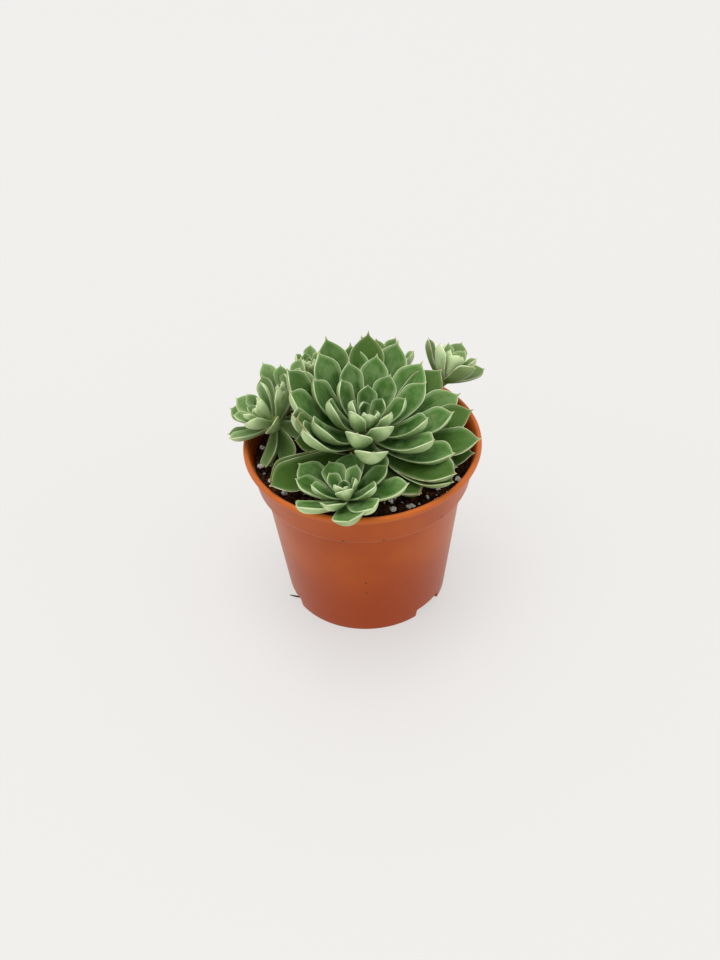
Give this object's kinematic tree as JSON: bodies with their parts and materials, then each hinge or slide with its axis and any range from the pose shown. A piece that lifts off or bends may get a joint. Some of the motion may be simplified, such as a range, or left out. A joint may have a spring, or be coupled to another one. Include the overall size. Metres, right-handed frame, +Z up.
{
  "type": "potted scorpio echeveria",
  "caption": "Clump of pointed-leaf succulent rosettes, one large and others smaller, rooted in soil in a round plastic nursery pot.",
  "frame": {"origin": "under the middle of the whole plant's bounding box, on the surface the pot stands on", "axes": "+Z up along the pot's axis; the picture looks along +Y from the front"},
  "size_m": [0.1322, 0.14, 0.1442],
  "materials": {
    "pot_plastic": "satin terracotta-coloured moulded plastic",
    "soil": "dark peat with white perlite grains",
    "leaf": "waxy grey-green succulent leaf with a pale margin and tip"
  },
  "bodies": {
    "root": {"pot": "pot_plastic", "soil": "soil", "rosette_main": "leaf", "rosette_front": "leaf", "offset_left": "leaf", "offset_left_tall": "leaf", "offset_right": "leaf", "offset_back_left": "leaf", "offset_back": "leaf"}
  },
  "joints": []
}
